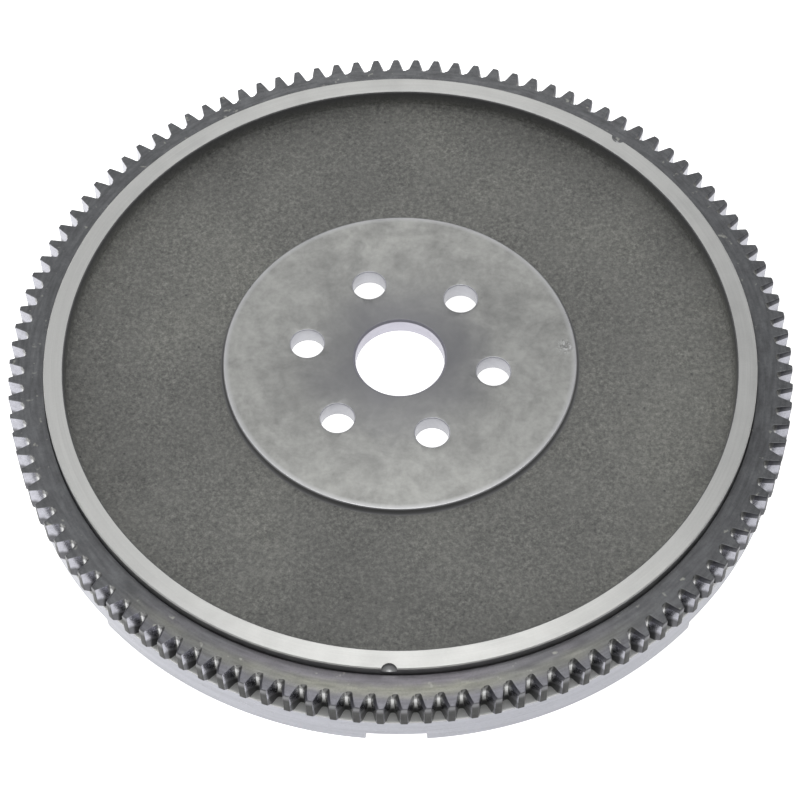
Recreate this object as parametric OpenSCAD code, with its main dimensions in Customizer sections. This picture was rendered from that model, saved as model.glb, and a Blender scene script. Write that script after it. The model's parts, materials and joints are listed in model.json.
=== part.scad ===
// Flywheel with a shrunk-on starter ring gear.
// Origin: centre of the crankshaft flange face. +Z points to the engine, -Z to the clutch.

/* [Crankshaft joint] */
// Diameter of the centre bore
bore_d = 33; // [30:0.5:36]
// Diameter of the circle that the crankshaft bolts lie on
bolt_circle_d = 70; // [66:0.5:80]
// Diameter of each crankshaft bolt hole
bolt_hole_d = 12.5; // [10:0.5:13]
// Number of crankshaft bolts
bolt_count = 6; // [4:1:8]
// Angle of the first crankshaft bolt hole
bolt_angle = 50; // [0:1:59]
// Diameter of the machined face that meets the crankshaft flange
boss_d = 131; // [126:1:140]
// Thickness of the hub between the crankshaft flange and the bolt heads
hub_t = 7.3; // [7:0.1:8]

/* [Ring gear] */
// Number of teeth
teeth = 112; // [112:1:116]
// Tooth size, pitch diameter divided by the number of teeth
gear_module = 2.54; // [2.54:0.01:2.6]
// Width of the ring along the axis
gear_w = 13.2; // [12:0.1:14]
// Radial thickness of the ring below the tooth roots
ring_rim = 8; // [7.5:0.1:9]
// Angle of the first tooth
tooth_angle = 1.12; // [0:0.02:3]
// Width of the lead-in chamfer at the tooth roots
lead_in_w = 1.1; // [1:0.1:1.8]
// Width of the lead-in chamfer at the tooth tips
lead_in_tip_w = 0.7; // [0.2:0.1:0.9]
// Depth of the lead-in chamfer at the tooth roots
lead_in_h = 1.7; // [1:0.1:4]

/* [Engine side] */
// Height of the register ring above the crankshaft flange face
register_h = 5.2; // [4:0.1:6]
// Radial width of the register ring
register_w = 7.3; // [6:0.1:9]
// Depth of the cast recess below the crankshaft flange face
recess_depth = 2.6; // [2:0.1:3.5]
// Height of the ring gear's face above the crankshaft flange face
gear_top = 1.3; // [0.5:0.1:2]

/* [Clutch side] */
// Diameter of the rim flange that the ring gear rests against
flange_d = 285.5; // [282:0.5:288]
// Distance from the crankshaft flange face to the clutch cover pads
pad_z = 25.8; // [25:0.1:30]
// Height of the cover pads above the friction face
pad_h = 4.5; // [4:0.1:6]
// Outer diameter of the friction face
friction_od = 244; // [236:1:246]
// Inner diameter of the friction face
friction_id = 152; // [148:1:160]
// Diameter of the circle that the clutch cover bolts and dowels lie on
cover_circle_d = 267; // [265:0.5:268]
// Number of clutch cover bolts
cover_bolt_count = 6; // [6:1:6]
// Tapping diameter of a clutch cover bolt hole
cover_hole_d = 6.8; // [5:0.1:7]
// Depth of a clutch cover bolt hole
cover_hole_depth = 11; // [9:0.5:12]
// Diameter of a clutch cover dowel where it stands out of the pad
dowel_d = 8; // [6:0.5:8.5]
// Diameter of the dowel's shank, pressed into the pad
dowel_shank_d = 9; // [9:0.5:11]
// Number of clutch cover dowels
dowel_count = 3; // [3:1:3]

/* [Rim openings] */
// Angle covered by each of the three narrow gaps between the cover pads
narrow_gap = 8.5; // [6:0.5:12]
// Angle covered by each of the three wide gaps between the cover pads
wide_gap = 27.5; // [20:0.5:30]

/* [Hidden] */
$fn = 96;
eps = 0.1;                  // overrun of a cut past the face it starts from

// Ring gear
pressure_angle = 20;
addendum = 2.1;             // stub tooth
dedendum = 3.24;
backlash = 0.16;            // taken off the tooth's thickness at the pitch circle
pitch_r = gear_module * teeth / 2;
tip_r = pitch_r + addendum;
root_r = pitch_r - dedendum;
seat_r = root_r - ring_rim;
base_r = pitch_r * cos(pressure_angle);
gear_bottom = gear_top - gear_w;
tip_chamfer_top = 0.4;
tip_chamfer_bottom = 2;
ring_edge = 0.5;            // chamfer on the ring's bore edges
flank_steps = 3;            // flat strips that make one tooth flank
lead_in_runout = 0.6;       // how far the lead-in chamfer runs in below the root

// Heights on the body
friction_z = pad_h - pad_z;
hub_cast_skin = 0.6;        // step from the hub's machined seat up to the cast surface
hub_seat_r = 47;            // machined seat under the crankshaft bolt heads
pot_r = 60;                 // flat floor of the cast pot
register_r = seat_r - register_w;
relief_w = 2;               // tool relief between the friction face and the pads
relief_depth = 0.8;
cover_r = cover_circle_d / 2;
friction_or = friction_od / 2;
friction_ir = friction_id / 2;
lip_ir = friction_or + relief_w;

// Small edges
edge = 0.4;                 // broken machined edge
bore_edge = 0.8;
hole_edge = 0.5;
boss_draft = 0.4;
boss_fillet = 1.2;
recess_fillet = 3;
pot_fillet = 5;
flange_edge = 0.8;

// Pads between the gaps: narrow and wide gaps take turns, 60 degrees apart
gap_pitch = 60;
first_narrow_gap = 30;
dowel_offset = -15;         // from the cover bolt beside it
dowel_length = 15;
dowel_stand = 6.5;          // height of a dowel above its pad
dowel_edge = 0.8;

// Half-round marks in the register ring's outer edge
mark_angles = [50, 269];
mark_d = 5.5;
mark_depth = 2.2;
mark_centre_out = 0.5;      // how far outside the register ring's edge the drill was centred

// Balance drillings in one cover pad
balance_d = 9;
balance_depth = 4;
balance_angles = [172, 188];

function polar(r, a) = [r * cos(a), r * sin(a)];
function arc(centre, r, from, to, steps = 6) =
    [for (i = [0 : steps]) centre + polar(r, from + (to - from) * i / steps)];
function involute(angle) = tan(angle) * 180 / PI - angle;
function half_tooth(r) =
    90 / teeth - backlash / 2 / pitch_r * 180 / PI
    + involute(pressure_angle) - involute(acos(base_r / r));
function flank_r(i) = root_r + (tip_r - root_r) * i / flank_steps;
function tooth_centre(i) = tooth_angle + 360 * i / teeth;

// ---- Flywheel body ----

// Section of the casting in the first quadrant, from the bore round by the engine side
module body_section() {
    wall_r = boss_d / 2 + boss_draft;
    floor_z = -recess_depth;
    cast_z = -hub_t - hub_cast_skin;
    bore_r = bore_d / 2;
    polygon(concat(
        [[bore_r, -hub_t + bore_edge], [bore_r, -bore_edge], [bore_r + bore_edge, 0]],
        [[boss_d / 2 - edge, 0], [boss_d / 2, -edge]],
        arc([wall_r + boss_fillet, floor_z + boss_fillet], boss_fillet, 180, 270),
        arc([register_r - recess_fillet, floor_z + recess_fillet], recess_fillet, 270, 360),
        [[register_r, register_h - edge], [register_r + edge, register_h]],
        [[seat_r - edge, register_h], [seat_r, register_h - edge]],
        [[seat_r, gear_bottom], [flange_d / 2 - edge, gear_bottom]],
        [[flange_d / 2, gear_bottom - edge], [flange_d / 2, -pad_z + flange_edge]],
        [[flange_d / 2 - flange_edge, -pad_z], [lip_ir + edge, -pad_z], [lip_ir, -pad_z + edge]],
        [[lip_ir, friction_z + relief_depth], [friction_or, friction_z + relief_depth]],
        [[friction_or, friction_z + edge], [friction_or - edge, friction_z]],
        [[friction_ir + edge, friction_z], [friction_ir, friction_z + edge]],
        arc([pot_r, cast_z - pot_fillet], pot_fillet, 45, 90, 4),
        [[hub_seat_r + hub_cast_skin, cast_z], [hub_seat_r, -hub_t], [bore_r + bore_edge, -hub_t]]
    ));
}

// Gap between two cover pads, open to the outside and to the friction face
module pad_gap(centre, width) {
    rotate([0, 0, centre - width / 2])
        rotate_extrude(angle = width)
            translate([friction_or + relief_w / 2, -pad_z - 1])
                square([flange_d / 2 - friction_or, pad_h + 1]);
}

module crank_bolt_holes() {
    for (i = [0 : bolt_count - 1])
        rotate([0, 0, bolt_angle + 360 * i / bolt_count])
            translate([bolt_circle_d / 2, 0, 0]) {
                translate([0, 0, -hub_t - 1]) cylinder(d = bolt_hole_d, h = hub_t + 2);
                translate([0, 0, -hole_edge]) edge_cone(bolt_hole_d / 2);
                translate([0, 0, -hub_t + hole_edge]) mirror([0, 0, 1]) edge_cone(bolt_hole_d / 2);
            }
}

// Cut that breaks the edge of a round hole; its small end is at z = 0
module edge_cone(r) {
    cylinder(r1 = r, r2 = r + hole_edge + eps, h = hole_edge + eps);
}

module cover_bolt_holes() {
    for (i = [0 : cover_bolt_count - 1])
        rotate([0, 0, 360 * i / cover_bolt_count])
            translate([cover_r, 0, -pad_z - eps])
                cylinder(d = cover_hole_d, h = cover_hole_depth + eps);
}

module dowel_holes() {
    for (i = [1 : dowel_count])
        at_dowel(i) translate([0, 0, -eps])
            cylinder(d = dowel_shank_d, h = dowel_length - dowel_stand + eps);
}

module index_marks() {
    for (a = mark_angles)
        rotate([0, 0, a])
            translate([seat_r + mark_centre_out, 0, register_h - mark_depth])
                cylinder(d = mark_d, h = mark_depth + eps);
}

module balance_holes() {
    for (a = balance_angles)
        rotate([0, 0, a])
            translate([cover_r, 0, -pad_z - eps])
                cylinder(d = balance_d, h = balance_depth + eps);
}

module flywheel_body() {
    color([0.45, 0.45, 0.44])
    difference() {
        rotate_extrude() body_section();
        for (i = [0 : 2]) {
            pad_gap(first_narrow_gap + 2 * gap_pitch * i, narrow_gap);
            pad_gap(first_narrow_gap + gap_pitch * (2 * i + 1), wide_gap);
        }
        crank_bolt_holes();
        cover_bolt_holes();
        dowel_holes();
        index_marks();
        balance_holes();
    }
}

// ---- Ring gear ----

// Outline of all the teeth, with involute flanks
module gear_outline() {
    polygon([for (i = [0 : teeth - 1]) each concat(
        [for (s = [0 : flank_steps]) polar(flank_r(s), tooth_centre(i) - half_tooth(flank_r(s)))],
        [for (s = [flank_steps : -1 : 0]) polar(flank_r(s), tooth_centre(i) + half_tooth(flank_r(s)))]
    )]);
}

// Section of the turned blank that the teeth are cut in
module blank_section() {
    polygon([
        [seat_r + ring_edge, gear_bottom], [tip_r - tip_chamfer_bottom, gear_bottom],
        [tip_r, gear_bottom + tip_chamfer_bottom], [tip_r, gear_top - tip_chamfer_top],
        [tip_r - tip_chamfer_top, gear_top], [seat_r + ring_edge, gear_top],
        [seat_r, gear_top - ring_edge], [seat_r, gear_bottom + ring_edge]
    ]);
}

// Slanting cut that thins the clockwise flank of one tooth towards the engine side.
// Its edge on the top face runs from lead_in_w at the root to lead_in_tip_w at the tip.
module lead_in_cut() {
    root_point = polar(root_r, -half_tooth(root_r));
    tip_point = polar(tip_r, -half_tooth(tip_r));
    flank_lean = atan2(tip_point[1] - root_point[1], tip_point[0] - root_point[0]);
    edge_turn = atan((lead_in_w - lead_in_tip_w) / (tip_r - root_r));
    cut_w = lead_in_w * cos(edge_turn);
    slope = cut_w / lead_in_h;
    over = 1;               // overrun past the tip and the top face
    translate([root_point[0], root_point[1], gear_top - lead_in_h])
        rotate([0, 0, flank_lean - edge_turn])
            translate([-lead_in_runout, 0, 0])
                rotate([90, 0, 90])
                    linear_extrude(tip_r - root_r + lead_in_runout + over)
                        polygon([
                            [-slope * eps, -eps],
                            [cut_w + slope * over, lead_in_h + over],
                            [-slope * eps, lead_in_h + over]
                        ]);
}

module ring_gear() {
    color([0.34, 0.36, 0.39])
    difference() {
        intersection() {
            translate([0, 0, gear_bottom]) linear_extrude(gear_w) gear_outline();
            rotate_extrude() blank_section();
        }
        for (i = [0 : teeth - 1]) rotate([0, 0, tooth_centre(i)]) lead_in_cut();
    }
}

// ---- Clutch cover dowels ----

module at_dowel(i) {
    rotate([0, 0, 360 * (i - 1) / dowel_count + 60 + dowel_offset])
        translate([cover_r, 0, -pad_z])
            children();
}

module cover_dowel(i) {
    color([0.72, 0.73, 0.75])
    at_dowel(i) translate([0, 0, -dowel_stand]) rotate_extrude()
        polygon([
            [0, 0], [dowel_d / 2 - dowel_edge, 0], [dowel_d / 2, dowel_edge],
            [dowel_d / 2, dowel_stand], [dowel_shank_d / 2, dowel_stand],
            [dowel_shank_d / 2, dowel_length - dowel_edge],
            [dowel_shank_d / 2 - dowel_edge, dowel_length], [0, dowel_length]
        ]);
}

flywheel_body();
ring_gear();
cover_dowel(1);  // cover_dowel_1
cover_dowel(2);  // cover_dowel_2
cover_dowel(3);  // cover_dowel_3
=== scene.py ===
"""Looks of the flywheel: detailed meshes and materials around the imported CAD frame."""

import json
import math

import bpy
import numpy as np
from mathutils import Matrix, Vector, noise


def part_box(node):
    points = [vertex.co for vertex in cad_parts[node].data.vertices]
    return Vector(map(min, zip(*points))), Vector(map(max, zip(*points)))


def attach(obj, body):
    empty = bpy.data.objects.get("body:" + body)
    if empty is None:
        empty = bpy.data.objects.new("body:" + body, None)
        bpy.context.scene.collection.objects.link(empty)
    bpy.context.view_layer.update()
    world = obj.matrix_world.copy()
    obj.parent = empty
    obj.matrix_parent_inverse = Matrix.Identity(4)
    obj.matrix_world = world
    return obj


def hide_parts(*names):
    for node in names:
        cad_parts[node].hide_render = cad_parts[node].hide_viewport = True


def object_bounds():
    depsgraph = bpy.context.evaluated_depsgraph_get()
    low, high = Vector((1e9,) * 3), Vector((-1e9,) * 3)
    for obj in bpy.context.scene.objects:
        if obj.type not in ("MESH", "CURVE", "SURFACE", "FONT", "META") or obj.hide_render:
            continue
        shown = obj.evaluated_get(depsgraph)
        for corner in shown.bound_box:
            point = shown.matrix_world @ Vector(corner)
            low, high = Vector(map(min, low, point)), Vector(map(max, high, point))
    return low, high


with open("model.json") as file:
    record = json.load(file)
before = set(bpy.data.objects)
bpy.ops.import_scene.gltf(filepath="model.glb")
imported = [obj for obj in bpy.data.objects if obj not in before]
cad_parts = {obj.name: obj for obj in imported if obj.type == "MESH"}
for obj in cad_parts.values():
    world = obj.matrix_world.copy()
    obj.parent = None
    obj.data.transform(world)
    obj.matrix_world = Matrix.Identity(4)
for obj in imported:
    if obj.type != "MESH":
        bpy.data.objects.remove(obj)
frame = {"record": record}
CAD_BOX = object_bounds()

# ---------------------------------------------------------------- sizes, in millimetres

MM = 0.001
MOUNT_SIZES = {mount["name"]: mount["dims"] for mount in frame["record"]["mounts"]}
CRANK_BOLTS = MOUNT_SIZES["crank_bolts"]
COVER_BOLTS = MOUNT_SIZES["cover_bolts"]


def node_box(name):
    """Lowest and highest corner of a CAD node, in millimetres."""
    return [np.array(corner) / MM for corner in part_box(name)]


BODY_LOW, BODY_HIGH = node_box("flywheel_body")
GEAR_LOW, GEAR_HIGH = node_box("ring_gear")

# Engine side
BORE_R = MOUNT_SIZES["crank_bore"]["r_mm"]
HUB_T = 7.3
BOSS_R = 65.5
BOSS_DRAFT = 0.4
RECESS_Z = -2.6
REGISTER_R = 123.7
SEAT_R = 131.0
REGISTER_Z = BODY_HIGH[2]
BOLT_R = CRANK_BOLTS["hole_r_mm"]
BOLT_CIRCLE_R = CRANK_BOLTS["pcd_mm"] / 2
BOLT_ANGLE = 50

# Rim and clutch side
FLANGE_R = BODY_HIGH[0]
PAD_Z = BODY_LOW[2]
FRICTION_Z = PAD_Z + 4.5
LIP_R = 124.0
FRICTION_OR = 122.0
FRICTION_IR = 76.0
GROOVE_Z = FRICTION_Z + 0.8
POT_R = 60.0
POT_FILLET = 5.0
POT_Z = -7.9
HUB_SEAT_R = 47.0
COVER_R = COVER_BOLTS["pcd_mm"] / 2
COVER_BOLT_R = COVER_BOLTS["hole_r_mm"]
COVER_BOLT_DEPTH = 11
THREAD_PITCH = 1.25
THREAD_DEPTH = 0.5
DOWEL_R = MOUNT_SIZES["cover_dowels"]["stud_r_mm"]
DOWEL_SHANK_R = 4.5
DOWEL_HOLE_DEPTH = 8.5
DOWEL_ANGLES = (45, 165, 285)
BALANCE_R = 4.5
BALANCE_DEPTH = 4
BALANCE_ANGLES = (172, 188)
MARK_R = 2.75
MARK_DEPTH = 2.2
MARK_CENTRE_R = 131.5
MARK_ANGLES = (50, 269)

# Gaps between the cover pads: centre angle and angle covered
GAPS = [(30 + 120 * i, 8.5) for i in range(3)] + [(90 + 120 * i, 27.5) for i in range(3)]
GAP_CORNER = 0.5

# Chamfers: most turned edges, both ends of the bore, and the outer and inner edge of a pad and of a gap
EDGE = 0.4
BORE_EDGE = 0.8
PAD_EDGES = (0.8, 0.4)
GAP_EDGES = (0.3, 0.3)

# Ring gear
TEETH = 112
TOOTH_ANGLE = 1.12      # place of the first tooth, in degrees
PITCH_R = 142.24
PRESSURE_ANGLE = math.radians(20)
TIP_R = GEAR_HIGH[0] - 0.01     # just inside the CAD box
ROOT_R = 139.0
BASE_R = PITCH_R * math.cos(PRESSURE_ANGLE)
BACKLASH = 0.16
GEAR_TOP = GEAR_HIGH[2]
GEAR_BOTTOM = GEAR_LOW[2]
LEAD_IN_W = 1.1
LEAD_IN_TIP_W = 0.7
LEAD_IN_H = 1.7
LEAD_IN_DIP = 0.6
TOP_TIP_CHAMFER = 0.3
LOW_TIP_CHAMFER = 2.0
GEAR_BORE_EDGE = 0.5


# ---------------------------------------------------------------- mesh building

def mesh_object(name, points, faces, finishes=None):
    """A mesh object in metres from points in millimetres, its faces turned outwards."""
    mesh = bpy.data.meshes.new(name)
    mesh.from_pydata((np.asarray(points) * MM).tolist(), [], [list(f) for f in faces])
    if finishes is not None:
        mesh.polygons.foreach_set("material_index", np.asarray(finishes, dtype=np.int32))
    obj = bpy.data.objects.new(name, mesh)
    bpy.context.scene.collection.objects.link(obj)
    if signed_volume(mesh) < 0:
        mesh.flip_normals()
    return obj


def signed_volume(mesh):
    """Volume that the mesh encloses, negative if its faces point inwards."""
    co = np.empty(len(mesh.vertices) * 3)
    mesh.vertices.foreach_get("co", co)
    co = co.reshape(-1, 3)
    mesh.calc_loop_triangles()
    tris = np.empty(len(mesh.loop_triangles) * 3, dtype=np.int32)
    mesh.loop_triangles.foreach_get("vertices", tris)
    a, b, c = (co[tris[k::3]] for k in range(3))
    return float(np.einsum("ij,ij->i", a, np.cross(b, c)).sum()) / 6


def torus_faces(columns, stations):
    """Quads of a grid that is closed both ways, points in column-major order."""
    here = np.arange(columns * stations).reshape(columns, stations)
    beside = np.roll(here, -1, axis=0)
    quads = np.stack([here, beside, np.roll(beside, -1, axis=1), np.roll(here, -1, axis=1)], axis=-1)
    return quads.reshape(-1, 4)


def stacked_rings(first, rings, last):
    """Closed solid from rings of points between two end points on its axis."""
    around = len(rings[0])
    points = np.vstack([[first], *rings, [last]])
    end = len(points) - 1
    faces = []
    for k in range(around):
        n = (k + 1) % around
        faces.append((0, 1 + k, 1 + n))
        for here in range(1, end - around, around):
            below = here + around
            faces.append((here + k, below + k, below + n, here + n))
        faces.append((end - around + k, end, end - around + n))
    return points, faces


def full_turn(segments):
    return np.linspace(0, 2 * math.pi, segments, endpoint=False)


def ring_at(r, z, turns):
    """Points of a level ring; r may differ from point to point."""
    return np.column_stack([r * np.cos(turns), r * np.sin(turns), np.full(len(turns), z)])


def lathe(profile, segments=64, centre=(0.0, 0.0)):
    """Closed solid turned from a profile of (r, z) points that starts and ends on the axis."""
    turns = full_turn(segments)
    (_, first), *middle, (_, last) = profile
    points, faces = stacked_rings((0, 0, first), [ring_at(r, z, turns) for r, z in middle], (0, 0, last))
    return points + [*centre, 0], faces


def polar(r, degrees):
    return r * math.cos(math.radians(degrees)), r * math.sin(math.radians(degrees))


def set_smooth(obj, sharp_degrees=32):
    """Smooth shading with sharp edges where the surface turns by more than an angle."""
    mesh = obj.data
    mesh.shade_smooth()
    mesh.set_sharp_from_angle(angle=math.radians(sharp_degrees))


# ---------------------------------------------------------------- flywheel body

FINISHES = ["cast", "cast_wall", "register", "register_side", "boss", "boss_side", "bored", "bore_edge",
            "drilled", "flange", "flange_top", "friction", "pad", "hub_seat", "index_mark"]
CRISP = 0.12        # rounding left on the corners of a chamfer
SUPPORT = 0.12      # distance of the first station from the end of a flat stretch
ROUND_STEPS = 3
OVER = 1.0          # how far a cutter stands out of the surface it cuts


def body_corners(pad_bottom, outer_edge, inner_edge):
    """Corners of the body's section, from the bore round by the engine side.

    Each is r, z, rounding, and the finish and number of steps of the stretch that follows.
    """
    return [
        (BORE_R, -HUB_T + BORE_EDGE, 0.2, "bored", 3),
        (BORE_R, -BORE_EDGE, 0.25, "bore_edge", 1),
        (BORE_R + BORE_EDGE, 0, 0.25, "boss", 12),
        (BOSS_R - EDGE, 0, 0.15, "boss", 1),
        (BOSS_R, -EDGE, 0.15, "boss_side", 2),
        (BOSS_R + BOSS_DRAFT, RECESS_Z, 1.2, "cast", 42),
        (REGISTER_R, RECESS_Z, 3.0, "cast_wall", 3),
        (REGISTER_R, REGISTER_Z - EDGE, CRISP, "cast_wall", 1),
        (REGISTER_R + EDGE, REGISTER_Z, CRISP, "register", 4),
        (SEAT_R - EDGE, REGISTER_Z, CRISP, "register", 1),
        (SEAT_R, REGISTER_Z - EDGE, CRISP, "register_side", 4),
        (SEAT_R, GEAR_BOTTOM, 0.1, "flange_top", 4),
        (FLANGE_R - EDGE, GEAR_BOTTOM, CRISP, "flange_top", 1),
        (FLANGE_R, GEAR_BOTTOM - EDGE, CRISP, "flange", 4),
        (FLANGE_R, pad_bottom + outer_edge, CRISP, "flange", 1),
        (FLANGE_R - outer_edge, pad_bottom, CRISP, "pad", 7),
        (LIP_R + inner_edge, pad_bottom, CRISP, "pad", 1),
        (LIP_R, pad_bottom + inner_edge, CRISP, "pad", 2),
        (LIP_R, GROOVE_Z, 0.25, "pad", 1),
        (FRICTION_OR, GROOVE_Z, 0.15, "pad", 1),
        (FRICTION_OR, FRICTION_Z + EDGE, CRISP, "friction", 1),
        (FRICTION_OR - EDGE, FRICTION_Z, CRISP, "friction", 10),
        (FRICTION_IR + EDGE, FRICTION_Z, CRISP, "friction", 1),
        (FRICTION_IR, FRICTION_Z + EDGE, 0.3, "cast", 9),
        (POT_R + POT_FILLET / 2, POT_Z, POT_FILLET * 0.8, "cast", 8),
        (HUB_SEAT_R + 0.6, POT_Z, 0.15, "hub_seat", 1),
        (HUB_SEAT_R, -HUB_T, 0.15, "hub_seat", 8),
        (BORE_R + BORE_EDGE, -HUB_T, 0.25, "bored", 1),
    ]


def section_stations(corners):
    """Stations (r, z) along a closed section with rounded corners, and each one's finish."""
    stations, finishes = [], []
    count = len(corners)
    for i, (r, z, rounding, finish, steps) in enumerate(corners):
        here = np.array([r, z], dtype=float)
        before = np.array(corners[i - 1][:2], dtype=float)
        after = np.array(corners[(i + 1) % count][:2], dtype=float)
        next_rounding = corners[(i + 1) % count][2]
        to_before = before - here
        to_after = after - here
        length = np.linalg.norm(to_after)
        start = here + to_before / np.linalg.norm(to_before) * rounding
        end = here + to_after / length * rounding
        for t in np.linspace(0, 1, ROUND_STEPS + 1):
            stations.append((1 - t) ** 2 * start + 2 * t * (1 - t) * here + t ** 2 * end)
            finishes.append(finish if t >= 0.5 else corners[i - 1][3])
        flat = length - rounding - next_rounding
        direction = to_after / length
        if steps > 1:
            marks = np.linspace(SUPPORT, flat - SUPPORT, steps)
            for mark in marks:
                stations.append(end + direction * mark)
                finishes.append(finish)
    return np.array(stations), finishes


def body_columns():
    """Column angles in degrees, and how much of the cover pad stands at each.

    Extra columns beside each gap round the pad's end by the gap's corner radius.
    """
    wall_round = (0.30, 0.16, 0.07, 0.0)        # degrees back from the gap's wall
    columns = {}
    for k in range(360):
        angle = k + 0.25
        in_gap = any(abs((angle - c + 180) % 360 - 180) < w / 2 - 0.01 for c, w in GAPS)
        columns[round(angle, 4)] = 0.0 if in_gap else 1.0
    for centre, width in GAPS:
        for side in (-1, 1):
            wall = centre + side * width / 2
            columns.pop(round(wall % 360, 4), None)
            for back in wall_round:
                away = math.radians(back) * FLANGE_R
                sunk = max(0.0, GAP_CORNER - away)
                drop = GAP_CORNER - math.sqrt(max(0.0, GAP_CORNER ** 2 - sunk ** 2))
                share = 1 - drop / (FRICTION_Z - PAD_Z)
                columns[round((wall + side * back) % 360, 4)] = share
            columns[round((wall - side * 0.03) % 360, 4)] = 0.0
    angles = np.array(sorted(columns))
    return angles, np.array([columns[a] for a in angles])


def cast_relief(x, y, z):
    """Height of the cast surface's unevenness at a point: waves of three sizes, in millimetres."""
    broad = noise.noise(Vector((x / 23, y / 23, z / 23 + 4.0)))
    middle = noise.noise(Vector((x / 7, y / 7, z / 7 + 9.0)))
    fine = noise.noise(Vector((x / 2.6, y / 2.6, z / 2.6 + 2.0)))
    return 0.09 * broad + 0.06 * middle + 0.05 * fine


def body_grid():
    """Points of the turned and cast body before any drilling."""
    pad, finishes = section_stations(body_corners(PAD_Z, *PAD_EDGES))
    gap, _ = section_stations(body_corners(FRICTION_Z, *GAP_EDGES))
    angles, shares = body_columns()
    section = gap[None] + (pad - gap)[None] * shares[:, None, None]
    turn = np.radians(angles)[:, None]
    points = np.stack([section[..., 0] * np.cos(turn), section[..., 0] * np.sin(turn), section[..., 1]],
                      axis=-1)

    along = np.roll(pad, -1, axis=0) - np.roll(pad, 1, axis=0)
    normals = np.stack([-along[:, 1], along[:, 0]], axis=-1)
    normals /= np.linalg.norm(normals, axis=1)[:, None]
    r, height = pad.T
    engine_cast = smooth_share(r, BOSS_R + 1.0, 2) * smooth_share(-r, -REGISTER_R + 0.6, 2)
    engine_cast *= (height > -4) & (height < 0)
    pot_cast = smooth_share(r, HUB_SEAT_R + 1.0, 2) * smooth_share(-r, -FRICTION_IR + 0.6, 1.5)
    pot_cast *= height < -7
    weight = np.maximum(engine_cast, pot_cast)
    for s in np.nonzero(weight > 0)[0]:
        for c in range(len(angles)):
            x, y, z = points[c, s]
            lift = cast_relief(x, y, z) * weight[s]
            points[c, s] += lift * np.array([normals[s, 0] * x / math.hypot(x, y),
                                             normals[s, 0] * y / math.hypot(x, y), normals[s, 1]])
    tags = [FINISHES.index(f) for f in finishes]
    quads = torus_faces(len(angles), len(pad))
    return points.reshape(-1, 3), quads, np.tile(tags, len(angles))


def smooth_share(value, start, width):
    """0 before start, rising smoothly to 1 over a width."""
    t = np.clip((value - start) / width, 0, 1)
    return t * t * (3 - 2 * t)


def edge_break(r, z, size, outward):
    """Profile points of a rounded hole edge at height z; outward is +1 for a top edge."""
    points = []
    for t in np.linspace(0, 1, 4):
        turn = t * math.pi / 2
        points.append((r + size * (1 - math.sin(turn)), z - outward * size * (1 - math.cos(turn))))
    points = points[::-1] if outward < 0 else points
    end = (r + size + 0.001, z + outward * OVER)
    return points + [end] if outward < 0 else [end] + points


def bolt_hole_profile():
    top = edge_break(BOLT_R, 0.0, 0.3, 1)
    bottom = edge_break(BOLT_R, -HUB_T, 0.5, -1)
    return [(0, OVER)] + top + bottom + [(0, -HUB_T - OVER)]


def blind_hole_profile(r, depth, point_depth, edge):
    """A hole drilled up from a pad: whole depth, depth of the drill point, and size of the edge."""
    start = [(0, PAD_Z + depth), (r, PAD_Z + depth - point_depth)]
    return start + edge_break(r, PAD_Z, edge, -1) + [(0, PAD_Z - OVER)]


def mark_profile():
    """A half-round index mark: a drilled dimple with a blunt point."""
    bottom = REGISTER_Z - MARK_DEPTH
    return [(0, REGISTER_Z + OVER), (MARK_R, REGISTER_Z + OVER), (MARK_R, bottom + MARK_DEPTH * 0.3),
            (MARK_R - 0.5, bottom + MARK_DEPTH * 0.15), (0, bottom)]


def threaded_hole(centre):
    """Cutter for a tapped hole: a countersink, and a drilled core with a helical thread groove."""
    rows_per_pitch = 6
    groove_half_width = 0.385       # as a share of the pitch
    countersink, thread_start, point_depth = 1.0, 0.9, 1.4
    turns = full_turn(36)
    thread_length = COVER_BOLT_DEPTH - 2.6
    rows = int(thread_length / THREAD_PITCH * rows_per_pitch)
    levels = [(COVER_BOLT_R + countersink + 0.1, PAD_Z - OVER, 0.0)]
    levels.append((COVER_BOLT_R + countersink, PAD_Z, 0.0))
    levels += [(COVER_BOLT_R, PAD_Z + thread_start + k * THREAD_PITCH / rows_per_pitch, THREAD_DEPTH)
               for k in range(rows)]
    levels.append((COVER_BOLT_R, PAD_Z + COVER_BOLT_DEPTH - point_depth, 0.0))
    rings = []
    for core_r, z, depth in reversed(levels):
        phase = (z / THREAD_PITCH - turns / (2 * math.pi)) % 1.0
        r = core_r + np.maximum(0.0, 1 - abs(phase - 0.5) / groove_half_width) * depth
        rings.append(ring_at(r, z, turns))
    points, faces = stacked_rings((0, 0, PAD_Z + COVER_BOLT_DEPTH), rings, (0, 0, PAD_Z - OVER))
    return points + [*centre, 0], faces


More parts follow.
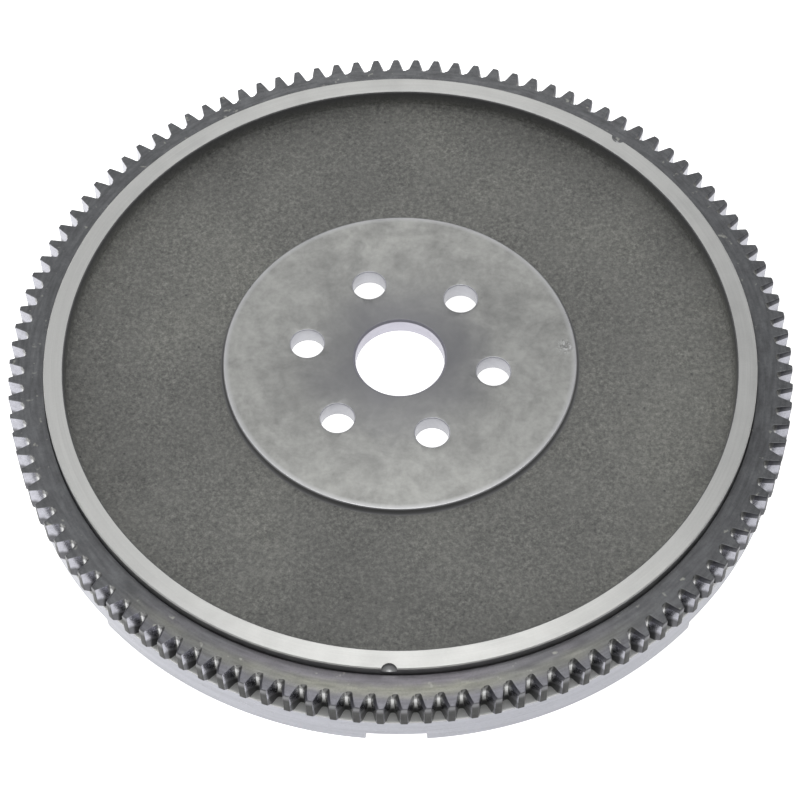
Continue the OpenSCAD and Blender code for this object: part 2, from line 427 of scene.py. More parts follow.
def body_cutter():
    """One object that holds every drilling: bolt holes, threads, dowel holes and marks."""
    parts = []
    for i in range(CRANK_BOLTS["count"]):
        centre = polar(BOLT_CIRCLE_R, BOLT_ANGLE + 360 / CRANK_BOLTS["count"] * i)
        parts.append((lathe(bolt_hole_profile(), 96, centre), "drilled"))
    for i in range(COVER_BOLTS["count"]):
        parts.append((threaded_hole(polar(COVER_R, 360 / COVER_BOLTS["count"] * i)), "hub_seat"))
    for angle in DOWEL_ANGLES:
        profile = blind_hole_profile(DOWEL_SHANK_R, DOWEL_HOLE_DEPTH, 0.0, 0.3)
        parts.append((lathe(profile, 64, polar(COVER_R, angle)), "bored"))
    for angle in BALANCE_ANGLES:
        profile = blind_hole_profile(BALANCE_R, BALANCE_DEPTH, 1.6, 0.15)
        parts.append((lathe(profile, 64, polar(COVER_R, angle)), "bored"))
    for angle in MARK_ANGLES:
        parts.append((lathe(mark_profile(), 48, polar(MARK_CENTRE_R, angle)), "index_mark"))
    points, faces, tags = [], [], []
    for (part_points, part_faces), finish in parts:
        start = sum(len(p) for p in points)
        points.append(part_points)
        faces += [tuple(v + start for v in f) for f in part_faces]
        tags += [FINISHES.index(finish)] * len(part_faces)
    return mesh_object("body_cutter", np.concatenate(points), faces, tags)


def build_body(materials):
    points, quads, tags = body_grid()
    body = mesh_object("flywheel_casting", points, quads, tags)
    cutter = body_cutter()
    for obj in (body, cutter):
        for name in FINISHES:
            obj.data.materials.append(materials[name])
    cut = body.modifiers.new("drillings", "BOOLEAN")
    cut.operation = "DIFFERENCE"
    cut.solver = "MANIFOLD"
    cut.object = cutter
    apply_modifiers(body)
    bpy.data.objects.remove(cutter)
    set_smooth(body)
    return body


def apply_modifiers(obj):
    """Replaces the object's mesh by what its modifiers make of it."""
    depsgraph = bpy.context.evaluated_depsgraph_get()
    mesh = bpy.data.meshes.new_from_object(obj.evaluated_get(depsgraph), depsgraph=depsgraph)
    obj.modifiers.clear()
    old = obj.data
    obj.data = mesh
    mesh.name = old.name
    bpy.data.meshes.remove(old)


# ---------------------------------------------------------------- ring gear

GEAR_FINISHES = ["gear_face", "gear_flank", "gear_tip", "gear_lead_in"]
ROOT_FILLETS = {-1: 1.0, 1: 1.5}     # on the clockwise and the other flank
TIP_ROUND = 0.12                     # at the corners of the tooth's tip
GEAR_EDGE = 0.1         # rounding between the teeth and the ring's two faces
LEAD_IN_ROWS = 6        # rows of the toothed wall that the lead-in chamfer reaches


def involute(angle):
    return math.tan(angle) - angle


def half_tooth(r):
    """Half of the tooth's angle at a radius, in radians."""
    at_pitch = math.pi / 2 / TEETH - BACKLASH / 2 / PITCH_R
    return at_pitch + involute(PRESSURE_ANGLE) - involute(math.acos(BASE_R / r))


def tip_radius(z):
    """Radius of the tooth tips at a height: both ends are chamfered."""
    return TIP_R - max(0.0, z - (GEAR_TOP - TOP_TIP_CHAMFER)) - max(0.0, GEAR_BOTTOM + LOW_TIP_CHAMFER - z)


def curve_between(start, corner, end, steps):
    """Points of a rounded corner, ends included."""
    start, corner, end = (np.array(p, dtype=float) for p in (start, corner, end))
    return [(1 - t) ** 2 * start + 2 * t * (1 - t) * corner + t ** 2 * end
            for t in np.linspace(0, 1, steps + 1)]


def tooth_outline(z):
    """Outline (r, angle) of one tooth at a height, from mid-gap to the next mid-gap.

    The clockwise flank falls back towards the engine side, as the lead-in chamfer does.
    """
    fallen = (GEAR_TOP - z) * LEAD_IN_W / LEAD_IN_H
    dip = LEAD_IN_DIP * max(0.0, 1 - fallen / LEAD_IN_W)
    tip = tip_radius(z)
    half_pitch = math.pi / TEETH

    def flank(share, side):
        r = ROOT_R + (tip - ROOT_R) * share
        back = max(0.0, LEAD_IN_W + (LEAD_IN_TIP_W - LEAD_IN_W) * share - fallen) if side < 0 else 0.0
        return np.array([r, side * half_tooth(r) + back / r])

    def side_points(side):
        """From the root to the tip corner's start."""
        corner = flank(0.0, side)
        corner[0] -= dip if side < 0 else 0.0
        fillet = ROOT_FILLETS[side]
        on_root = np.array([corner[0], corner[1] + side * min(fillet, 0.6) / ROOT_R])
        points = curve_between(on_root, corner, flank(fillet / (tip - ROOT_R), side), 4)
        points += [flank(share, side) for share in (0.35, 0.5, 0.65, 0.8)]
        return points

    left, right = flank(1.0, -1), flank(1.0, 1)
    land = (right[1] - left[1]) * tip
    rounding = min(TIP_ROUND, 0.3 * land)
    round_share = 1 - rounding / (tip - ROOT_R)
    left_tip = curve_between(flank(round_share, -1), left, (tip, left[1] + rounding / tip), 2)
    right_tip = curve_between((tip, right[1] - rounding / tip), right, flank(round_share, 1), 2)
    middle = [(tip, (left[1] + right[1]) / 2)]
    root_start = [(ROOT_R - dip * 0.35, -half_pitch), (ROOT_R - dip * 0.8, -half_pitch * 0.94)]
    root_end = [(ROOT_R, half_pitch * 0.96)]
    path = root_start + side_points(-1) + left_tip + middle + right_tip
    path += side_points(1)[::-1] + root_end
    return np.array([np.asarray(p, dtype=float) for p in path])


def offset_inwards(outline, distance):
    """The outline moved into the metal, in the plane of the gear."""
    pitch = 2 * math.pi / TEETH
    r, a = outline[:, 0], outline[:, 1]
    flat = np.stack([r * np.cos(a), r * np.sin(a)], axis=-1)

    def turned(p, angle):
        c, s = math.cos(angle), math.sin(angle)
        return np.array([p[0] * c - p[1] * s, p[0] * s + p[1] * c])

    after = np.vstack([flat[1:], turned(flat[0], pitch)])
    before = np.vstack([turned(flat[-1], -pitch), flat[:-1]])
    along = after - before
    along /= np.linalg.norm(along, axis=1)[:, None]
    inward = np.stack([-along[:, 1], along[:, 0]], axis=-1)
    moved = flat + inward * distance
    return np.stack([np.hypot(moved[:, 0], moved[:, 1]), np.arctan2(moved[:, 1], moved[:, 0])], axis=-1)


def gear_levels():
    """Heights of the toothed wall with how far each outline is moved in, from top to bottom."""
    top, low = GEAR_TOP, GEAR_BOTTOM
    e = GEAR_EDGE
    levels = [(top, e + 0.15), (top, e), (top - 0.3 * e, 0.3 * e), (top - e, 0)]
    levels += [(top - drop, 0) for drop in (TOP_TIP_CHAMFER, 0.9, LEAD_IN_H, LEAD_IN_H + 0.2, 6.0)]
    levels += [(low + LOW_TIP_CHAMFER + rise, 0) for rise in (2, 0.15, 0)]
    levels += [(low + rise, 0) for rise in (1.0, e)]
    return levels + [(low + 0.3 * e, 0.3 * e), (low, e)]


def build_ring_gear(materials):
    """The ring as one closed grid: one tooth's rings of points, repeated round the axis."""
    edge = GEAR_BORE_EDGE
    walls = [(z, offset_inwards(tooth_outline(z), e) if e else tooth_outline(z)) for z, e in gear_levels()]
    per_tooth = len(walls[0][1])
    pitch = 2 * math.pi / TEETH
    uniform = (np.arange(per_tooth) / per_tooth - 0.5) * pitch

    def inner_ring(r, z, outline, share):
        """A plain ring inside the teeth, its points spread evenly by a share."""
        angle = outline[:, 1] * (1 - share) + uniform * share
        return np.stack([np.full(per_tooth, r), angle, np.full(per_tooth, z)], axis=-1)

    top, bottom = walls[0][1], walls[-1][1]
    rings = [np.column_stack([outline, np.full(per_tooth, z)]) for z, outline in walls]
    bottom_rings = ((137.4, 0.5), (135, 1), (SEAT_R + edge, 1))
    bore_levels = (GEAR_BOTTOM + edge, GEAR_BOTTOM + edge + 0.2, GEAR_TOP - edge - 0.2, GEAR_TOP - edge)
    top_rings = ((SEAT_R + edge, 1), (SEAT_R + edge + 0.2, 1), (133.5, 1), (135.5, 0.9), (137.2, 0.5))
    rings += [inner_ring(r, GEAR_BOTTOM, bottom, share) for r, share in bottom_rings]
    rings += [inner_ring(SEAT_R, z, bottom, 1) for z in bore_levels]
    rings += [inner_ring(r, GEAR_TOP, top, share) for r, share in top_rings]
    tooth = np.stack(rings, axis=1)
    columns = np.concatenate([tooth + [0, math.radians(TOOTH_ANGLE) + pitch * i, 0] for i in range(TEETH)])
    points = np.stack([columns[..., 0] * np.cos(columns[..., 1]),
                       columns[..., 0] * np.sin(columns[..., 1]), columns[..., 2]], axis=-1)
    count = len(rings)
    # Rows of the grid run down the toothed wall, columns run round the tooth's outline
    tags = np.zeros((len(columns), count), dtype=np.int32)
    wall_end = len(walls) - 1
    tip = tooth[:, 4, 0] > TIP_R - TIP_ROUND * 1.01
    tip &= np.roll(tip, -1)
    tags[:, 3:wall_end - 2] = GEAR_FINISHES.index("gear_flank")
    tags[np.tile(tip, TEETH), 3:wall_end - 2] = GEAR_FINISHES.index("gear_tip")
    on_lead_in = np.tile(np.arange(per_tooth) < np.argmax(tip), TEETH)
    tags[on_lead_in, 2:LEAD_IN_ROWS] = GEAR_FINISHES.index("gear_lead_in")
    gear = mesh_object("starter_ring_gear", points.reshape(-1, 3),
                       torus_faces(len(columns), count), tags.reshape(-1))
    for name in GEAR_FINISHES:
        gear.data.materials.append(materials[name])
    set_smooth(gear)
    return gear


# ---------------------------------------------------------------- dowels

def build_dowel(number, angle, material):
    """A stepped pin with rounded ends: the pin stands out of the pad, the thicker shank sits in it."""
    low, high = node_box(f"cover_dowel_{number}")
    profile = [(0, low[2])]
    for r, z, turn in ((DOWEL_R, low[2], 1), (DOWEL_SHANK_R, high[2], -1)):
        corner = [(r - 0.8, z), (r - 0.62, z + turn * 0.05)]
        corner += [(r - 0.12, z + turn * 0.62), (r, z + turn * 0.9)]
        if turn > 0:
            profile += corner
            profile += [(r, PAD_Z - 0.12), (r + 0.08, PAD_Z), (DOWEL_SHANK_R - 0.1, PAD_Z)]
            profile += [(DOWEL_SHANK_R, PAD_Z + 0.1)]
        else:
            profile += corner[::-1]
    profile.append((0, high[2]))
    points, faces = lathe(profile, 64, polar(COVER_R, angle))
    dowel = mesh_object(f"dowel_pin_{number}", points, faces)
    dowel.data.materials.append(material)
    set_smooth(dowel, 40)
    return dowel


# ---------------------------------------------------------------- materials

class Shade:
    """A material under construction. Node outputs are passed from call to call."""

    def __init__(self, name, metallic=1.0, anisotropic=0.0, specular=0.5):
        self.material = bpy.data.materials.new(name)
        self.material.use_nodes = True
        self.tree = self.material.node_tree
        self.surface = self.tree.nodes["Principled BSDF"]
        self.surface.inputs["Metallic"].default_value = metallic
        self.surface.inputs["Anisotropic"].default_value = anisotropic
        self.surface.inputs["Specular IOR Level"].default_value = specular
        self.place = self.add("ShaderNodeTexCoord").outputs["Object"]

    def add(self, kind, **settings):
        node = self.tree.nodes.new(kind)
        for key, value in settings.items():
            setattr(node, key, value)
        return node

    def put(self, socket, value):
        if isinstance(value, bpy.types.NodeSocket):
            self.tree.links.new(value, socket)
        else:
            socket.default_value = value

    def maths(self, operation, a, b):
        node = self.add("ShaderNodeMath", operation=operation)
        self.put(node.inputs[0], a)
        self.put(node.inputs[1], b)
        return node.outputs[0]

    def vector(self, operation, a, b=None, scale=None):
        node = self.add("ShaderNodeVectorMath", operation=operation)
        self.put(node.inputs[0], a)
        if b is not None:
            self.put(node.inputs[1], b)
        if scale is not None:
            self.put(node.inputs["Scale"], scale)
        return node.outputs["Value"] if operation in ("LENGTH", "DISTANCE") else node.outputs["Vector"]

    def flat_place(self):
        """Position with the height left out."""
        return self.vector("MULTIPLY", self.place, (1, 1, 0))

    def radius(self):
        """Distance from the axis, in millimetres."""
        return self.maths("MULTIPLY", self.vector("LENGTH", self.flat_place()), 1 / MM)

    def along(self, axis, scale=1 / MM):
        """Position along an axis, in millimetres."""
        split = self.add("ShaderNodeSeparateXYZ")
        self.put(split.inputs[0], self.place)
        return self.maths("MULTIPLY", split.outputs["XYZ".index(axis)], scale)

    def height(self):
        """Height above the face that meets the crankshaft, in millimetres."""
        return self.along("Z")

    def turned(self, per_mm, per_radian, offset=0.0):
        """Coordinates whose noise runs in rings round the axis."""
        direction = self.vector("SCALE", self.vector("NORMALIZE", self.flat_place()), scale=per_radian)
        depth = self.maths("MULTIPLY", self.maths("ADD", self.radius(), self.height()), per_mm)
        rise = self.add("ShaderNodeCombineXYZ")
        self.put(rise.inputs[2], self.maths("ADD", depth, offset))
        return self.vector("ADD", direction, rise.outputs[0])

    def noise(self, size_mm=None, where=None, detail=2.0, roughness=0.5, distortion=0.0):
        """Noise of a grain size in the object's own space, or at given coordinates."""
        node = self.add("ShaderNodeTexNoise")
        self.put(node.inputs["Vector"], self.place if where is None else where)
        self.put(node.inputs["Scale"], 1.0 if size_mm is None else 1 / (size_mm * MM))
        self.put(node.inputs["Detail"], detail)
        self.put(node.inputs["Roughness"], roughness)
        self.put(node.inputs["Distortion"], distortion)
        return node.outputs["Fac"]

    def cells(self, size_mm):
        """Distance from the nearest of scattered points, on a grain size."""
        node = self.add("ShaderNodeTexVoronoi")
        self.put(node.inputs["Vector"], self.place)
        self.put(node.inputs["Scale"], 1 / (size_mm * MM))
        return node.outputs["Distance"]

    def spread(self, value, low, high, to_low=0.0, to_high=1.0):
        """Maps low..high to to_low..to_high, clamped."""
        node = self.add("ShaderNodeMapRange")
        node.clamp = True
        for index, number in enumerate((value, low, high, to_low, to_high)):
            self.put(node.inputs[index], number)
        return node.outputs[0]

    def ramp(self, value, stops):
        """Colour ramp from (place, colour) pairs."""
        node = self.add("ShaderNodeValToRGB")
        elements = node.color_ramp.elements
        while len(elements) < len(stops):
            elements.new(0.5)
        for element, (place, colour) in zip(elements, stops):
            element.position = place
            element.color = (*colour, 1.0)
        self.put(node.inputs[0], value)
        return node.outputs[0]

    def mix(self, share, a, b, blend="MIX"):
        node = self.add("ShaderNodeMix", data_type="RGBA", blend_type=blend)
        self.put(node.inputs[0], share)
        for socket, value in ((node.inputs[6], a), (node.inputs[7], b)):
            self.put(socket, (*value, 1.0) if isinstance(value, tuple) else value)
        return node.outputs[2]

    def bump(self, height, distance_mm, strength=1.0, normal=None):
        node = self.add("ShaderNodeBump")
        self.put(node.inputs["Height"], height)
        self.put(node.inputs["Strength"], strength)
        self.put(node.inputs["Distance"], distance_mm * MM)
        if normal is not None:
            self.put(node.inputs["Normal"], normal)
        return node.outputs[0]

    def brushed_round(self):
        """Highlights stretched across turning marks that run round the axis."""
        node = self.add("ShaderNodeTangent", direction_type="RADIAL", axis="Z")
        self.put(self.surface.inputs["Tangent"], node.outputs[0])
        self.surface.inputs["Anisotropic Rotation"].default_value = 0.25

    def finish(self, colour, roughness, normal=None):
        self.put(self.surface.inputs["Base Color"], colour)
        self.put(self.surface.inputs["Roughness"], roughness)
        if normal is not None:
            self.put(self.surface.inputs["Normal"], normal)
        return self.material


def grey(value, yellow=0.0):
    """A grey of a given reflectance, pulled towards yellow or, if negative, towards blue."""
    return (value, value, value * (1 - yellow))


def cast_iron(name="cast_iron_skin", shade=1.0, wall=False):
    """Rough sand-cast skin, with an even grain and a faint cloudiness.

    A wall darkens towards its top with painted shade. The rest darkens towards the register ring with
    painted shade.
    """
    s = Shade(name, metallic=0.3)
    fine = s.noise(0.6, detail=3, roughness=0.65)
    grain = s.noise(1.5, detail=3, roughness=0.65)
    patches = s.noise(16, detail=3, roughness=0.55)
    broad = s.noise(75, detail=2, roughness=0.5)
    level = 0.2 * shade
    low, mid, high = grey(level * 0.62, 0.05), grey(level, 0.07), grey(level * 1.5, 0.08)
    colour = s.ramp(grain, [(0.28, low), (0.5, mid), (0.72, high)])
    slow = s.ramp(broad, [(0.35, grey(0.86)), (0.5, grey(1.0, 0.005)), (0.65, grey(1.15, 0.02))])
    colour = s.mix(1.0, colour, slow, "MULTIPLY")
    tone = s.ramp(fine, [(0.25, grey(0.55)), (0.5, grey(1.0)), (0.75, grey(1.5, 0.01))])
    colour = s.mix(1.0, colour, tone, "MULTIPLY")
    colour = s.mix(s.spread(patches, 0.35, 0.7, 0.0, 0.3), colour, grey(level * 1.25, 0.07))
    pits = s.spread(s.cells(4.5), 0.06, 0.14, 0.75, 0.0)
    colour = s.mix(s.maths("MULTIPLY", pits, s.spread(patches, 0.5, 0.62)), colour, grey(level * 0.3))
    if wall:
        # painted shade: the wall darkens towards its top, under the register ring's edge
        height = s.maths("ADD", s.height(), s.maths("MULTIPLY", grain, 2.0))
        colour = s.mix(s.spread(height, 0.2, 5.0), colour, grey(0.16))
    else:
        # painted shade: the recess floor darkens towards the register wall
        colour = s.mix(s.spread(s.radius(), 96, REGISTER_R - 0.7, 0.0, 0.1), colour, grey(0.0))
    height = s.maths("ADD", s.maths("MULTIPLY", grain, 0.8), s.maths("MULTIPLY", fine, 0.5))
    normal = s.bump(height, 0.5, 1.0)
    return s.finish(colour, s.spread(fine, 0.3, 0.7, 0.55, 0.8), normal)


def turned_iron(name, level, tint, roughness, anisotropic, groove_mm=0.35, groove_depth=0.012,
                contrast=0.12, metallic=1.0):
    """Machined iron with turning marks round the axis, blotches and fine scratches."""
    s = Shade(name, metallic=metallic, anisotropic=anisotropic)
    s.brushed_round()
    grooves = s.noise(where=s.turned(1 / groove_mm, 5.0), detail=2)
    bands = s.noise(where=s.turned(0.45, 2.0, 7.0), detail=2)
    blotches = s.noise(9, detail=4, roughness=0.6)
    grain = s.noise(0.9, detail=3, roughness=0.7)
    tone = s.maths("ADD", s.maths("MULTIPLY", grooves, 0.35), s.maths("MULTIPLY", bands, 0.2))
    tone = s.maths("ADD", tone, s.maths("MULTIPLY", blotches, 0.25))
    tone = s.maths("ADD", tone, s.maths("MULTIPLY", grain, 0.2))

    def stop(factor):
        return tuple(min(level * factor * part, 0.95) for part in tint)

    colour = s.ramp(tone, [(0.3, stop(1 - contrast)), (0.5, stop(1)), (0.7, stop(1 + contrast))])
    rough = s.spread(s.maths("ADD", blotches, s.maths("MULTIPLY", grooves, 0.4)), 0.5, 0.95, *roughness)
    normal = s.bump(grooves, groove_depth, 1.0)
    normal = s.bump(bands, groove_depth * 2, 0.6, normal)
    return s.finish(colour, rough, normal)


SCUFF = (61 * MM, 5 * MM, 0)       # place of a scuff on the crankshaft face


def boss_iron():
    """The crankshaft face: turned, then dulled in patches, darker round the bore, lighter at the rim:
    partly a smoother band, partly painted highlight.
    """
    s = Shade("boss_face", anisotropic=0.5)
    s.brushed_round()
    grooves = s.noise(where=s.turned(1 / 0.4, 4.0), detail=2)
    patches = s.noise(24, detail=5, roughness=0.6, distortion=0.8)
    middle = s.noise(8, detail=3, roughness=0.6, distortion=0.5)
    small = s.noise(2.4, detail=4, roughness=0.65)
    tone = s.maths("ADD", s.maths("MULTIPLY", patches, 0.5), s.maths("MULTIPLY", middle, 0.3))
    tone = s.maths("ADD", tone, s.maths("MULTIPLY", small, 0.2))
    low, mid, high = ((level, level, level * 0.95) for level in (0.27, 0.365, 0.47))
    colour = s.ramp(tone, [(0.38, low), (0.5, mid), (0.62, high)])
    from_bore = s.maths("ADD", s.radius(), s.maths("MULTIPLY", patches, 24.0))
    colour = s.mix(s.spread(from_bore, 32, 68, 0.5, 0.0), colour, (0.2, 0.2, 0.2))
    colour = s.mix(s.spread(from_bore, 27, 50, 0.8, 0.0), colour, (0.195, 0.195, 0.205))
    # painted highlight: the rim band is lighter in colour, as well as smoother
    rim = s.spread(s.radius(), BOSS_R - 2.4, BOSS_R - 0.6)
    colour = s.mix(rim, colour, grey(0.5))
    scuffed = s.spread(s.vector("DISTANCE", s.place, SCUFF), 1.5 * MM, 4 * MM, 1.0, 0.0)
    marks = s.noise(1.3, detail=3, roughness=0.7, distortion=1.0)
    colour = s.mix(s.maths("MULTIPLY", scuffed, s.spread(marks, 0.53, 0.62)), colour, grey(0.62))
    colour = s.mix(s.maths("MULTIPLY", scuffed, s.spread(marks, 0.38, 0.46, 1.0, 0.0)), colour, grey(0.22))
    rough = s.maths("SUBTRACT", s.spread(patches, 0.3, 0.7, 0.36, 0.56), s.maths("MULTIPLY", rim, 0.14))
    normal = s.bump(grooves, 0.008, 1.0)
    normal = s.bump(small, 0.03, 0.6, normal)
    return s.finish(colour, rough, normal)


def gear_face():
    """Top and bottom of the ring: hardened steel, dull and dark, with lighter heat colours on the front:
    partly heat tint, partly painted sheen.
    """
    s = Shade("gear_face", metallic=0.9, anisotropic=0.88)
    s.brushed_round()
    fine = s.noise(0.9, detail=4, roughness=0.65)
    blotches = s.noise(6, detail=4, roughness=0.6)
    patches = s.noise(34, detail=3, roughness=0.6)
    grooves = s.noise(where=s.turned(1 / 0.45, 4.0), detail=2)
    colour = s.ramp(blotches, [(0.3, (0.135, 0.136, 0.14)), (0.7, (0.18, 0.184, 0.188))])
    place = s.maths("ADD", s.radius(), s.maths("MULTIPLY", s.maths("SUBTRACT", blotches, 0.5), 3.0))
    heat_tint_and_sheen = s.ramp(s.spread(place, 131, 144), [
        (0.0, (0.185, 0.175, 0.19)), (0.25, (0.21, 0.2, 0.216)), (0.45, (0.27, 0.27, 0.23)),
        (0.6, (0.27, 0.268, 0.24)), (0.76, (0.205, 0.202, 0.22)), (1.0, (0.23, 0.228, 0.25))])
    # heat colours only on the front and lighter than the rest: partly heat tint, partly painted sheen
    front = s.maths("ADD", s.along("Y", -1 / MM), s.maths("MULTIPLY", patches, 60.0))
    colour = s.mix(s.spread(front, 133, 168), colour, heat_tint_and_sheen)
    streaks = s.noise(where=s.turned(0.8, 14.0, 3.0), detail=3)
    streaks = s.ramp(streaks, [(0.3, grey(0.8)), (0.5, grey(1.0)), (0.7, grey(1.2))])
    colour = s.mix(1.0, colour, streaks, "MULTIPLY")
    nicks = s.spread(s.noise(3.2, detail=2), 0.68, 0.76, 0.0, 0.8)
    colour = s.mix(nicks, colour, (0.42, 0.42, 0.38))
    dirt = s.spread(fine, 0.3, 0.55, 0.32, 0.0)
    colour = s.mix(dirt, colour, (0.06, 0.06, 0.06))
    normal = s.bump(grooves, 0.012, 1.0)
    normal = s.bump(fine, 0.03, 0.6, normal)
    return s.finish(colour, s.spread(fine, 0.3, 0.7, 0.3, 0.45), normal)


def gear_steel(name, level, roughness, dirt_share, metallic=1.0):
    """Cut and hardened gear steel: a painted highlight at the roots, darker at the tops of the roots, and
    painted shade at the gear's foot.
    """
    s = Shade(name, metallic=metallic)
    fine = s.noise(0.8, detail=4, roughness=0.65)
    blotches = s.noise(6, detail=4, roughness=0.6)
    low, high = (tuple(level * factor * part for part in (1.0, 1.0, 1.1)) for factor in (0.85, 1.05))
    colour = s.ramp(blotches, [(0.3, low), (0.6, high)])
    cuts = s.noise(where=s.vector("MULTIPLY", s.place, (500, 500, 3000)), detail=1)
    # painted highlight: a light colour near the roots stands in for their reflection
    painted_root_highlight = s.spread(s.radius(), ROOT_R + 0.4, ROOT_R + 1.2, 0.85, 0.0)
    colour = s.mix(painted_root_highlight, colour, (0.62, 0.62, 0.6))
    dirt = s.spread(fine, 0.35, 0.6, dirt_share, 0.0)
    colour = s.mix(dirt, colour, (0.06, 0.06, 0.062))
    # painted shade: a dark band at the gear's foot, in the corner above the flange shoulder
    reach = s.spread(s.radius(), ROOT_R + 0.3, TIP_R - 1.5, 3.4, 6.0)
    rise = s.maths("ADD", s.height(), s.maths("MULTIPLY", blotches, 1.2))
    painted_foot_shade = s.spread(s.maths("SUBTRACT", rise, reach), GEAR_BOTTOM, GEAR_BOTTOM + 2.0, 1.0, 0.0)
    painted_foot_shade = s.maths("MULTIPLY", painted_foot_shade, s.spread(s.radius(), ROOT_R + 0.3, TIP_R - 1.5, 0.95, 0.8))
    colour = s.mix(painted_foot_shade, colour, (0.018, 0.018, 0.018))
    # darker near the roots, towards the top of the gear
    dark_root_tops = s.spread(s.radius(), ROOT_R + 0.6, ROOT_R + 1.4, 0.75, 0.0)
    dark_root_tops = s.maths("MULTIPLY", dark_root_tops, s.spread(s.height(), GEAR_TOP - 3.4, GEAR_TOP - 2.2))
    colour = s.mix(dark_root_tops, colour, (0.06, 0.06, 0.055))
    normal = s.bump(cuts, 0.01, 1.0)
    normal = s.bump(fine, 0.015, 0.6, normal)
    return s.finish(colour, s.spread(fine, 0.3, 0.7, *roughness), normal)


def gear_land():
    """Tips of the teeth: blackened, but worn bright where the starter pinion enters."""
    s = Shade("gear_tip", metallic=0.4, specular=0.15)
    fine = s.noise(1.2, detail=3, roughness=0.6)
    blotches = s.noise(6, detail=4, roughness=0.6)
    colour = s.ramp(blotches, [(0.3, grey(0.02)), (0.7, grey(0.05, 0.06))])
    edge = s.maths("ADD", s.height(), s.maths("MULTIPLY", fine, 1.2))
    worn = s.spread(edge, GEAR_TOP - 3.2, GEAR_TOP - 1.2)
    colour = s.mix(worn, colour, (0.19, 0.19, 0.197))
    return s.finish(colour, s.spread(fine, 0.3, 0.7, 0.36, 0.5), s.bump(fine, 0.012, 0.6))


def marked_iron():
    """The index marks: a drilled wall darkened with painted shade, round a bright floor."""
    s = Shade("index_mark", metallic=0.4)
    fine = s.noise(0.6, detail=3)
    depth = s.maths("ADD", s.height(), s.maths("MULTIPLY", fine, 0.2))
    # painted shade on the drilled wall, above the bright floor
    wall = s.spread(depth, REGISTER_Z - MARK_DEPTH * 0.93, REGISTER_Z - MARK_DEPTH * 0.86)
    colour = s.mix(wall, grey(0.75), grey(0.24))
    return s.finish(colour, s.spread(fine, 0.3, 0.7, 0.4, 0.5), s.bump(fine, 0.01, 1.0))


def ground_steel():
    """The dowels: bright, with fine grinding marks round the pin."""
    s = Shade("ground_pin_steel")
    lines = s.noise(where=s.vector("MULTIPLY", s.place, (300, 300, 9000)), detail=2)
    blotches = s.noise(3, detail=3)
    colour = s.ramp(blotches, [(0.3, grey(0.52, -0.01)), (0.7, grey(0.63, -0.01))])
    return s.finish(colour, s.spread(blotches, 0.3, 0.7, 0.18, 0.3), s.bump(lines, 0.004, 1.0))


def all_materials():
    warm, lilac = (1.0, 0.998, 0.96), (0.97, 0.95, 1.08)
    return {
        "cast": cast_iron(),
        # cast_iron_wall: a lighter copy of the cast skin, with painted shade towards its top
        "cast_wall": cast_iron("cast_iron_wall", 1.15, wall=True),
        "register": turned_iron("register_face", 0.57, warm, (0.33, 0.45), 0.82),
        # register_wall: a darker copy of the register face, painted shade on the step's wall
        "register_side": turned_iron("register_wall", 0.29, (1, 1, 1), (0.35, 0.5), 0.5),
        "index_mark": marked_iron(),
        "boss": boss_iron(),
        # boss_wall: a darker copy of the turned iron, painted shade on the boss's side wall
        "boss_side": turned_iron("boss_wall", 0.22, (1, 1, 1), (0.5, 0.65), 0.3, metallic=0.6),
        "bored": turned_iron("bored_wall", 0.5, lilac, (0.28, 0.42), 0.4),
        "bore_edge": turned_iron("bore_edge", 0.27, lilac, (0.5, 0.65), 0.2, metallic=0.2),
        "drilled": turned_iron("drilled_wall", 0.48, (0.97, 0.975, 1.04), (0.35, 0.5), 0.2),
        "flange": turned_iron("flange_rim", 0.37, (0.965, 0.975, 1.06), (0.26, 0.38), 0.6, contrast=0.3),
        # flange_shoulder: a near-white copy of the turned iron, painted light that makes up for shade
        # under the teeth
        "flange_top": turned_iron("flange_shoulder", 0.93, warm, (0.45, 0.6), 0.3, metallic=0.1),
        "friction": turned_iron("friction_face", 0.52, (1, 1, 1), (0.3, 0.42), 0.75, 0.5, 0.016),
        "pad": turned_iron("cover_pad", 0.55, (1, 1, 1), (0.32, 0.46), 0.7),
        "hub_seat": turned_iron("hub_bolt_seat", 0.45, warm, (0.35, 0.5), 0.6),
        "gear_face": gear_face(),
        "gear_flank": gear_steel("gear_flank", 0.4, (0.18, 0.3), 0.25),
        "gear_tip": gear_land(),
        # gear_lead_in: a darker copy of the flank steel, painted shade on the lead-in chamfer
        "gear_lead_in": gear_steel("gear_lead_in", 0.12, (0.35, 0.48), 0.5, 0.8),
        "dowel": ground_steel(),
    }


# ---------------------------------------------------------------- floor, light and camera

# Camera: angles in degrees, distance and aim in metres, focal length in millimetres
VIEW_AZIMUTH = 1.5
VIEW_ELEVATION = 56.65
VIEW_ROLL = -1.09
VIEW_DISTANCE = 0.8628
VIEW_LENS = 107.07
VIEW_AIM = Vector((0.00028, -0.0223, REGISTER_Z * MM))
# Brightness of the lit table on the viewer's left and right
FLOOR_GLOW = (1.1, 0.8)
# Studio walls: brightness towards the darkest and the brightest direction
WORLD_RANGE = (0.02, 0.56)
WORLD_BRIGHT = (0.0, 0.64, 0.77)
# Name, azimuth, elevation, distance, size and power in watts of each light
LIGHTS = [
    ("softbox_overhead", 180, 84, 1.6, (1.0, 1.2), 7.2),
    ("softbox_back_left", -135, 50, 1.6, (0.9, 0.7), 1.0),
    ("softbox_front_high", 0, 62, 1.6, (0.8, 0.5), 0.45),
]


def direction_from(azimuth, elevation):
    """Unit vector from the object towards a viewer at these angles."""
    a, e = math.radians(azimuth), math.radians(elevation)
    return Vector((math.sin(a) * math.cos(e), -math.cos(a) * math.cos(e), math.sin(e)))


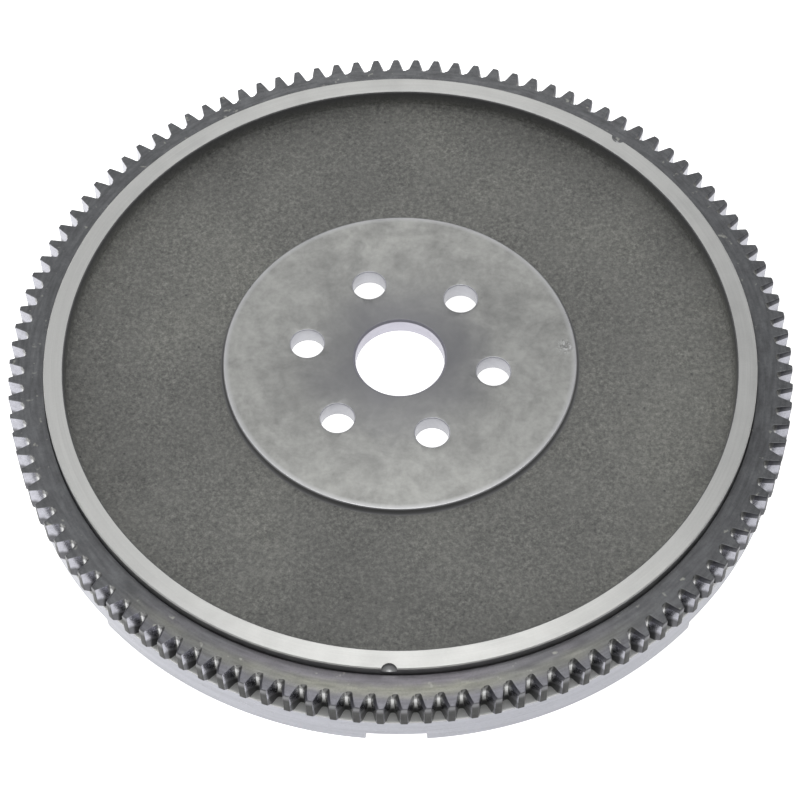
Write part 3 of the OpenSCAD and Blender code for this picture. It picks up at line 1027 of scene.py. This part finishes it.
def build_camera():
    data = bpy.data.cameras.new("camera")
    data.lens = VIEW_LENS
    data.sensor_width = 36
    camera = bpy.data.objects.new("camera", data)
    bpy.context.scene.collection.objects.link(camera)
    outward = direction_from(VIEW_AZIMUTH, VIEW_ELEVATION)
    aim = outward.to_track_quat("Z", "Y").to_matrix().to_4x4()
    roll = Matrix.Rotation(math.radians(VIEW_ROLL), 4, "Z")
    camera.matrix_world = Matrix.Translation(VIEW_AIM + outward * VIEW_DISTANCE) @ aim @ roll
    bpy.context.scene.camera = camera


def build_floor():
    """A white table, lit from below so that it reads as plain white."""
    size = 30.0
    low = CAD_BOX[0][2]
    mesh = bpy.data.meshes.new("floor")
    corners = [(-size, -size, low), (size, -size, low), (size, size, low), (-size, size, low)]
    mesh.from_pydata(corners, [], [(0, 1, 2, 3)])
    floor = bpy.data.objects.new("floor", mesh)
    bpy.context.scene.collection.objects.link(floor)
    s = Shade("lit_white_table", metallic=0.0, specular=0.1)
    s.surface.inputs["Emission Color"].default_value = (1, 1, 1, 1)
    s.put(s.surface.inputs["Emission Strength"], s.spread(s.along("X"), -150, 150, *FLOOR_GLOW))
    cloud = s.noise(400, detail=1)
    s.finish(s.ramp(cloud, [(0.3, grey(0.78)), (0.7, grey(0.8))]), 0.9)
    mesh.materials.append(s.material)


def build_light(name, azimuth, elevation, distance, size, power):
    data = bpy.data.lights.new(name, "AREA")
    data.shape = "RECTANGLE"
    data.size, data.size_y = size
    data.energy = power
    lamp = bpy.data.objects.new(name, data)
    bpy.context.scene.collection.objects.link(lamp)
    outward = direction_from(azimuth, elevation)
    lamp.location = outward * distance
    lamp.rotation_euler = outward.to_track_quat("Z", "Y").to_euler()


def build_world():
    """A studio that is bright above and behind, and dark on the viewer's side."""
    world = bpy.data.worlds.new("studio")
    bpy.context.scene.world = world
    world.use_nodes = True
    tree = world.node_tree
    background = tree.nodes["Background"]
    background.inputs["Color"].default_value = (0.96, 0.97, 1.0, 1.0)
    side = tree.nodes.new("ShaderNodeVectorMath")
    side.operation = "DOT_PRODUCT"
    tree.links.new(tree.nodes.new("ShaderNodeTexCoord").outputs["Generated"], side.inputs[0])
    side.inputs[1].default_value = WORLD_BRIGHT
    level = tree.nodes.new("ShaderNodeMapRange")
    level.interpolation_type = "SMOOTHSTEP"
    tree.links.new(side.outputs["Value"], level.inputs[0])
    for index, number in enumerate((-0.6, 0.6, *WORLD_RANGE), 1):
        level.inputs[index].default_value = number
    tree.links.new(level.outputs[0], background.inputs["Strength"])


build_camera()
build_world()
build_floor()
for lamp_settings in LIGHTS:
    build_light(*lamp_settings)
bpy.context.scene.view_settings.view_transform = "Standard"

MATERIALS = all_materials()
body = build_body(MATERIALS)
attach(body, "root")
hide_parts("flywheel_body")

gear = build_ring_gear(MATERIALS)
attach(gear, "root")
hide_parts("ring_gear")

for number, angle in enumerate(DOWEL_ANGLES, 1):
    dowel = build_dowel(number, angle, MATERIALS["dowel"])
    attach(dowel, "root")
    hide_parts(f"cover_dowel_{number}")
